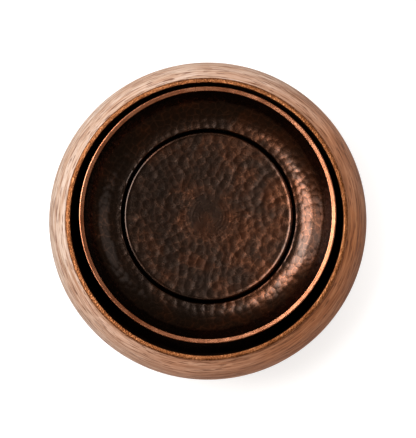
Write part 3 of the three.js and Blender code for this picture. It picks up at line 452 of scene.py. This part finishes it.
finishes = {
    "wood": wood(),
    "tub_copper": tub_copper(),
    "dark_copper": dark_copper(),
    "bright_copper": bright_copper(),
    "steel": plain_metal("brushed_steel", (0.40, 0.41, 0.43), (0.62, 0.63, 0.65), 0.32, 0.02),
    "brass": plain_metal("turned_brass", (0.42, 0.27, 0.09), (0.66, 0.47, 0.19), 0.30, 0.01),
    "ferrite": plain_metal("sintered_ferrite", (0.05, 0.05, 0.055), (0.11, 0.11, 0.12), 0.55, 0.002),
    "black_steel": powder_coat(),
    "rubber": moulded("matt_rubber", (0.012, 0.012, 0.012), (0.026, 0.026, 0.027), 0.78, 0.0009),
    "black_plastic": moulded("black_plastic", (0.014, 0.015, 0.017), (0.028, 0.029, 0.032), 0.48),
    "grey_plastic": moulded("grey_plastic", (0.085, 0.09, 0.097), (0.13, 0.137, 0.147), 0.46),
    "clear_tube": clear_tube(),
    "sponge": open_foam(),
    "winding": winding(),
    "ceramic": moulded("ground_ceramic", (0.68, 0.66, 0.61), (0.82, 0.80, 0.76), 0.25, 0.0005, 0.00004),
}


# ---- Wooden shell ----
BELLY = (162.0, 60.0)  # radius and height of the widest place
BELLY_INSIDE = (153.0, 60.0)
HEEL_TURN, SHOULDER_TURN = 1.36, 1.08
HEEL_STEPS, SHOULDER_STEPS = 52, 56
SHELL_TOP = 104.3
SHELL_MOUTH = 137.5
SHELL_FOOT = 3.0
SHELL_FLOOR = 13.0
PLATE_SEAT = 106.3  # recess for the base plate, and its depth
PLATE_SEAT_TOP = 6.3
SOCKET_HOLE, SOCKET_LAND_HOLE = 5.8, 8.5
SOCKET_FLANGE, SOCKET_LAND = 2.3, 6.1  # thickness of the socket's flange, and of the wood it grips
PASS_HEIGHT = 50.0  # power socket and cable gland above the table


def shell_profile():
    heel = flank(BELLY, (118.0, SHELL_FOOT), HEEL_TURN, HEEL_STEPS)
    shoulder = flank(BELLY, (141.4, SHELL_TOP), SHOULDER_TURN, SHOULDER_STEPS)
    inner_shoulder = flank(BELLY_INSIDE, (SHELL_MOUTH, 100.3), SHOULDER_TURN, 16)
    inner_heel = flank(BELLY_INSIDE, (126.0, SHELL_FLOOR), HEEL_TURN, 16)
    return [
        *heel[::-1],
        *shoulder[1:],
        (140.9, SHELL_TOP), (138.0, SHELL_TOP), (SHELL_MOUTH, SHELL_TOP - 0.5),
        *inner_shoulder[::-1],
        *inner_heel[1:],
        (96.4, SHELL_FLOOR), (96.0, SHELL_FLOOR - 0.4),
        (96.0, PLATE_SEAT_TOP),
        (PLATE_SEAT, PLATE_SEAT_TOP),
        (PLATE_SEAT, SHELL_FOOT + 0.4), (PLATE_SEAT + 0.4, SHELL_FOOT),
    ]


def shell():
    profile = shell_profile()
    grain_rows = HEEL_STEPS + 1 + SHOULDER_STEPS  # rows of the profile on the outside
    steps = np.linalg.norm(np.diff(np.array(profile), axis=0), axis=1)
    along = np.concatenate([[0], np.cumsum(steps)])

    def relief(row, angle, points):
        outside = row < grain_rows
        push = np.zeros(len(points))
        a, d = angle[outside], along[row[outside]]
        fine = np.stack([np.cos(a) * 12, np.sin(a) * 12, d / 2.2], 1)
        broad = np.stack([np.cos(a) * 3, np.sin(a) * 3, d / 9.0], 1)
        push[outside] = 0.05 * ripple(fine, 1.0, 1) + 0.10 * ripple(broad, 1.0, 2) - 0.16
        return push

    vertices, faces, _ = turned(profile, 540, relief=relief)
    made = piece("wooden_shell", vertices, faces, finishes["wood"], "vessel", "wood", "outer_shell", sharp=40)
    back = math.pi / 2
    inside, beyond = 136.0, 165.0  # the cuts run clear of the wood at both ends
    _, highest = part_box("dc_inlet")
    seat = highest.y / METRES - SOCKET_FLANGE
    bored(
        made,
        rod_along(back, SOCKET_HOLE, inside, beyond, PASS_HEIGHT),
        rod_along(back, SOCKET_LAND_HOLE, seat, beyond, PASS_HEIGHT),
        rod_along(back, SOCKET_LAND_HOLE, inside, seat - SOCKET_LAND, PASS_HEIGHT),
    )
    return made


# ---- Copper tub ----
TUB_INSIDE, TUB_OUTSIDE = 136.0, 137.2
TUB_FLOOR, TUB_UNDERSIDE = 14.5, 13.3
TUB_CORNER = (118.0, 32.5)  # centre of the round corner between floor and wall
LIP_START = 104.6  # height above which the copper is granular
GLAND_ANGLE = math.pi / 2 + math.radians(13.5)


def tub():
    crown = [(137.4, 109.92), (138.0, 109.92), (138.7, 109.89), (139.4, 109.82), (140.0, 109.62)]
    bead = [*arc((136.75, 109.05), 0.75, 180, 75, 6), *crown, *arc((138.9, 107.4), 2.35, 52, -110, 14)]
    corner_in = arc(TUB_CORNER, TUB_CORNER[1] - TUB_FLOOR, -90, 0, 12)
    corner_out = arc(TUB_CORNER, TUB_OUTSIDE - TUB_CORNER[0], 0, -90, 12)
    wall_in = line((TUB_INSIDE, 34.0), (TUB_INSIDE, 108.6), 20)
    wall_out = line((TUB_OUTSIDE, 104.0), (TUB_OUTSIDE, 34.0), 6)
    floor_in = [(r, TUB_FLOOR) for r in (0, 30, 60, 90)]
    floor_out = [(r, TUB_UNDERSIDE) for r in (90, 60, 30, 0)]
    profile = [*floor_in, *corner_in, *wall_in, *bead, *wall_out, *corner_out, *floor_out][::-1]
    heights = np.array([p[1] for p in profile])

    def relief(row, angle, points):
        lip = heights[row] > LIP_START
        push = np.zeros(len(points))
        push[lip] = 0.11 * ripple(points[lip], 0.95, 3) + 0.10 * ripple(points[lip], 3.2, 4) - 0.2
        return push

    vertices, faces, _ = turned(profile, 720, relief=relief)
    made = piece("copper_tub", vertices, faces, finishes["tub_copper"], "vessel", "tub_copper",
                 "reservoir_liner")
    gland_hole, short_of, beyond = 5.0, 131.0, 141.0
    return bored(made, rod_along(GLAND_ANGLE, gland_hole, short_of, beyond, PASS_HEIGHT))


# ---- Hammered basin ----
BASIN_FLOOR = 65.5
STEP_RADIUS = 88.2
STEP_TOP = 77.5
WALL_START = 90.6
WALL_EDGE = 124.85
WALL_TURN = 1.4
WALL_TOP = 105.5
SHEET = 1.2
STEP_HOLLOW = 5.0  # radius of the corner between floor and step
STEP_NOSE = 2.35
OUTLET_BORE = 5.5
BAND_START = 108.0  # height at which the marks have faded out under the bright band
WALL_MARK_DEPTH = 0.34


def wall_curve(steps):
    """The basin's wall from the step to where it stands nearly upright."""
    across = (WALL_EDGE - WALL_START) / math.sin(WALL_TURN)
    rise = (WALL_TOP - STEP_TOP) / (1 - math.cos(WALL_TURN))
    turn = np.linspace(0, WALL_TURN, steps + 1)
    return [(WALL_START + across * math.sin(t), STEP_TOP + rise * (1 - math.cos(t))) for t in turn]


def path_along(points):
    """(radius, height) at a distance along a line of points, and the line's length."""
    line_points = np.array(points)
    far = np.concatenate([[0], np.cumsum(np.linalg.norm(np.diff(line_points, axis=0), axis=1))])
    return (lambda d: (np.interp(d, far, line_points[:, 0]), np.interp(d, far, line_points[:, 1]))), far[-1]


def basin():
    step = [
        *arc((STEP_RADIUS - STEP_HOLLOW, BASIN_FLOOR + STEP_HOLLOW), STEP_HOLLOW, -90, 0, 8),
        (STEP_RADIUS, 73.5),
        *arc((STEP_RADIUS + STEP_NOSE, STEP_TOP - 2.4), STEP_NOSE, 180, 92, 10),
    ]
    wall = wall_curve(52)[1:]
    edge = [(WALL_EDGE, 107.0), (WALL_EDGE, 109.9)]
    floor = line((12.0, BASIN_FLOOR), (80.0, BASIN_FLOOR), 6)
    inner = [(OUTLET_BORE, BASIN_FLOOR), *floor, *step, *wall, *edge]
    run = np.gradient(np.array(inner), axis=0)
    run /= np.linalg.norm(run, axis=1)[:, None]
    under = [(r + SHEET * d[1], z - SHEET * d[0]) for (r, z), d in zip(inner, run)]
    under[0] = (OUTLET_BORE, BASIN_FLOOR - SHEET)
    profile = [*under, *inner[::-1]]
    first_inner = len(under)
    blows = strike_rows(path_along(wall_curve(52)), 6.6, 7.6, random.Random(41))
    heights = np.array([p[1] for p in profile])
    radii = np.array([p[0] for p in profile])
    wear = {}

    def relief(row, angle, points):
        push = np.zeros(len(points))
        nose = (row >= first_inner) & (radii[row] > STEP_RADIUS - 1.2) & (radii[row] < WALL_START)
        worn = np.where(nose, 0.7, 0.0)
        inside = (row >= first_inner) & (radii[row] > WALL_START - 1.0) & (heights[row] < BAND_START)
        marks, ridges = hammered(points[inside], blows, WALL_MARK_DEPTH)
        fade = np.clip((BAND_START - heights[row[inside]]) / 3.0, 0, 1)
        push[inside] = fade * marks + 0.12 * ripple(points[inside], 16.0, 5) - 0.1
        worn[inside] = ridges * fade
        outside = (row < first_inner) & (radii[row] > WALL_START - 1.0) & (heights[row] < 106)
        push[outside] = 0.18 * ripple(points[outside], 7.0, 6) - 0.1
        wear["all"] = worn
        return push

    vertices, faces, used = turned(profile, 660, WORKS, relief)
    made = piece("hammered_basin", vertices, faces, finishes["dark_copper"], "basin", "dark_copper", "basin")
    keep_wear(made, wear["all"][used])
    return made


def rim_band():
    inner, outer, top, foot = 123.5, 128.0, 111.5, 106.5
    slot_inner, slot_outer, slot_top = 124.4, 126.5, 110.2  # channel that takes the basin's edge
    profile = [
        (inner, foot),
        *line((inner, 107.0), (inner, top - 1.0), 4),
        *arc((inner + 0.6, top - 1.0), 0.6, 175, 98, 5),
        *line((inner + 0.9, top - 0.38), (outer - 0.9, top), 5),
        *arc((outer - 0.8, top - 0.8), 0.8, 90, 0, 6),
        (outer, 109.4), (outer, 108.0), (outer, 106.8), (outer - 0.3, foot),
        (slot_outer, foot), (slot_outer, slot_top), (slot_inner, slot_top), (slot_inner, foot),
    ][::-1]

    def relief(row, angle, points):
        return 0.06 * ripple(points, 9.0, 7) + 0.02 * ripple(points, 2.4, 8) - 0.07

    vertices, faces, _ = turned(profile, 720, WORKS, relief)
    return piece("rim_band", vertices, faces, finishes["bright_copper"], "basin", "bright_copper",
                 "basin_rim_band")


# ---- Centre disc ----
DISC_RADIUS = 86.0
DISC_CREST = 77.2
DISC_DISH = 2.2
DISC_DISHED = 78.0  # radius of the dished face, inside the edge bead
DISC_SHEET = 1.55
DISC_FOOT = 72.7
DISC_MARK_DEPTH = 0.29
BEAD_START, BEAD_TOP = 82.8, 84.0


def disc_top(radius):
    """Height of the dished face at a radius."""
    return DISC_CREST - DISC_DISH * (1 - (radius / DISC_DISHED) ** 2)


def disc():
    dished = [(0, disc_top(0)), *[(r, disc_top(r)) for r in np.linspace(0.9, DISC_DISHED, 84)]]
    edge = [(79.5, 77.22), (81.0, 77.26), (81.9, 77.30), (82.6, 77.40), (83.1, 77.49), (83.5, 77.53),
            (83.9, 77.48), (84.4, 77.28), (84.9, 76.90), (85.4, 76.2), (85.8, 75.2),
            (DISC_RADIUS, 74.0), (DISC_RADIUS, DISC_FOOT)]
    top = [*dished, *edge]
    under = [(84.5, DISC_FOOT), (84.5, 74.2), (84.0, 75.2), (82.8, 75.6), (DISC_DISHED, 75.6)]
    under += [(r, disc_top(r) - DISC_SHEET) for r in (70.0, 60.0, 50.0, 40.0, 25.0, 10.0, 0)]
    profile = [*top, *under][::-1]
    first_top = len(under)
    draw = random.Random(17)
    calm, middle_end, marked_end = 19, 33, 82.5
    outer_path = path_along([(middle_end, disc_top(middle_end)), (marked_end, disc_top(DISC_DISHED))])
    outer = strike_rows(outer_path, 7.4, 8.4, draw)
    middle_path = path_along([(calm, disc_top(calm)), (middle_end, disc_top(middle_end))])
    middle = strike_rows(middle_path, 5.2, 6.4, draw)
    middle[:, 4] *= 0.55
    blows = np.concatenate([outer, middle])
    radii = np.array([p[0] for p in profile])
    wear = {}

    def relief(row, angle, points):
        push = np.zeros(len(points))
        worn = np.where((row >= first_top) & (radii[row] > BEAD_START), 0.45, 0.0)
        above = (row >= first_top) & (radii[row] < BEAD_TOP)
        r = radii[row[above]]
        marks, ridges = hammered(points[above], blows, DISC_MARK_DEPTH)
        fade = np.clip((BEAD_TOP - r) / 2.0, 0, 1) * np.clip((r - 12) / 12.0, 0, 1)
        wander = 1.5 * ripple(points[above], 14.0, 9)
        rings = 0.035 * np.sin(r * 2.0 + wander) * np.clip((34 - r) / 12, 0, 1)
        push[above] = fade * marks + rings + 0.07 * ripple(points[above], 15.0, 10) - 0.12
        worn[above] = np.maximum(worn[above], ridges * fade)
        wear["all"] = worn
        return push

    vertices, faces, used = turned(profile, 480, WORKS, relief)
    made = piece("spreader_disc", vertices, faces, finishes["dark_copper"], "diffuser_disc", "dark_copper",
                 "diffuser_disc")
    keep_wear(made, wear["all"][used])
    return made


shell()
tub()
basin()
rim_band()
disc()


# ---- CAD nodes that stay as they are, with a finish and softened edges ----
EDGE_ROUND = 0.0003
EDGE_ANGLE = math.radians(35)
kept_finishes = {
    "black_steel": ["base_plate"],
    "steel": ["base_screw_", "inlet_nut", "support_ring", "stand_post_", "ring_screw_", "stator_core",
              "hose_clip"],
    "rubber": ["rubber_foot_", "gland_seal", "pump_lead", "basin_gasket", "post_pad_", "front_bush",
               "rear_bush", "suction_cup_", "lead_boot", "outlet_gasket"],
    "black_plastic": ["gland_body", "gland_cap", "gland_nut", "dc_inlet", "pump_body", "motor_back_cover",
                      "impeller_housing", "intake_cover"],
    "grey_plastic": ["impeller", "flow_dial"],
    "clear_tube": ["riser_tube"],
    "sponge": ["filter_sponge"],
    "winding": ["stator_coil_"],
    "ferrite": ["rotor_magnet"],
    "ceramic": ["rotor_shaft"],
    "brass": ["outlet_fitting", "outlet_nut"],
    "dark_copper": ["disc_spacer_"],
}
for slot, names in kept_finishes.items():
    for name, node in nodes.items():
        if any(name == start or (start.endswith("_") and name.startswith(start)) for start in names):
            node.data.materials.clear()
            node.data.materials.append(finishes[slot])
            bevel = node.modifiers.new("edges", "BEVEL")
            bevel.width = EDGE_ROUND
            bevel.segments = 2
            bevel.limit_method = "ANGLE"
            bevel.angle_limit = EDGE_ANGLE
            bevel.harden_normals = True


# ---- Floor, light and camera ----
LIGHT_DISTANCE = 3.0


def studio():
    """A pale floor, and a white surround that lights the object more weakly and warmly."""
    floor_mesh = bpy.data.meshes.new("floor")
    half = 30.0
    corners = [(-half, -half, 0), (half, -half, 0), (half, half, 0), (-half, half, 0)]
    floor_mesh.from_pydata(corners, [], [(0, 1, 2, 3)])
    floor = bpy.data.objects.new("floor", floor_mesh)
    bpy.context.scene.collection.objects.link(floor)
    s = Shader("pale_floor", Roughness=0.9, Specular_IOR_Level=0.0, Emission_Color=(1, 1, 1, 1))
    seen = s.add("ShaderNodeLightPath").outputs["Is Camera Ray"]
    s.tree.links.new(s.math("MULTIPLY", seen, 0.72), s.bsdf.inputs["Emission Strength"])
    tone = s.ramp(s.noise(0.4), (0.3, (0.42, 0.42, 0.42)), (0.7, (0.44, 0.44, 0.44)))
    floor_mesh.materials.append(s.finish(tone))

    world = bpy.data.worlds.new("studio")
    bpy.context.scene.world = world
    world.use_nodes = True
    tree = world.node_tree
    background = tree.nodes["Background"]
    path = tree.nodes.new("ShaderNodeLightPath")
    indirect = tree.nodes.new("ShaderNodeMapRange")
    indirect.inputs["To Min"].default_value = 0.14
    indirect.inputs["To Max"].default_value = 0.27
    tree.links.new(path.outputs["Is Diffuse Ray"], indirect.inputs["Value"])
    level = tree.nodes.new("ShaderNodeMapRange")
    level.inputs["To Max"].default_value = 1.0
    tree.links.new(path.outputs["Is Camera Ray"], level.inputs["Value"])
    tree.links.new(indirect.outputs[0], level.inputs["To Min"])
    tree.links.new(level.outputs[0], background.inputs["Strength"])
    tint = tree.nodes.new("ShaderNodeMix")
    tint.data_type = "RGBA"
    tint.inputs[6].default_value = (1.0, 0.70, 0.48, 1)
    tint.inputs[7].default_value = (1.0, 1.0, 1.0, 1)
    tree.links.new(path.outputs["Is Camera Ray"], tint.inputs[0])
    tree.links.new(tint.outputs[2], background.inputs["Color"])


def softbox(name, azimuth, tilt, width, height, radiance, mirrored=True, lit=True):
    """A rectangular light that faces the basin, tilt degrees off the vertical.

    mirrored is whether it shows in reflections, lit whether it lights matt surfaces."""
    light = bpy.data.lights.new(name, "AREA")
    light.shape = "RECTANGLE"
    light.size, light.size_y = width, height
    light.energy = radiance * math.pi * width * height
    made = bpy.data.objects.new(name, light)
    made.visible_glossy = mirrored
    made.visible_diffuse = lit
    bpy.context.scene.collection.objects.link(made)
    a, t = math.radians(azimuth), math.radians(tilt)
    out = Vector((math.sin(t) * math.cos(a), math.sin(t) * math.sin(a), math.cos(t)))
    made.location = Vector((0, 0, 0.09)) + out * LIGHT_DISTANCE
    made.rotation_euler = (-out).to_track_quat("-Z", "Y").to_euler()


def camera():
    data = bpy.data.cameras.new("camera")
    data.lens = 156
    made = bpy.data.objects.new("camera", data)
    bpy.context.scene.collection.objects.link(made)
    aim = Vector((0.0014, -0.0003, 0.108))
    lean_right, lean_front, distance = math.radians(1.26), math.radians(2.5), 1.89
    away = Vector((math.tan(lean_right), -math.tan(lean_front), 1)).normalized()
    made.location = aim + away * distance
    side = Vector((0, 1, 0)).cross(away).normalized()
    made.rotation_euler = Matrix((side, away.cross(side), away)).transposed().to_euler()
    bpy.context.scene.camera = made


studio()
softbox("key", azimuth=163, tilt=30, width=1.45, height=1.6, radiance=10.5)
softbox("side", azimuth=170, tilt=66, width=1.5, height=1.5, radiance=2.2)
softbox("fill", azimuth=258, tilt=64, width=1.8, height=1.2, radiance=3.6, mirrored=False)
softbox("counter", azimuth=15, tilt=44, width=2.0, height=1.6, radiance=0.6, lit=False)
softbox("overhead", azimuth=90, tilt=38, width=2.4, height=2.4, radiance=3.4, mirrored=False)
camera()
bpy.context.scene.view_settings.view_transform = "Standard"
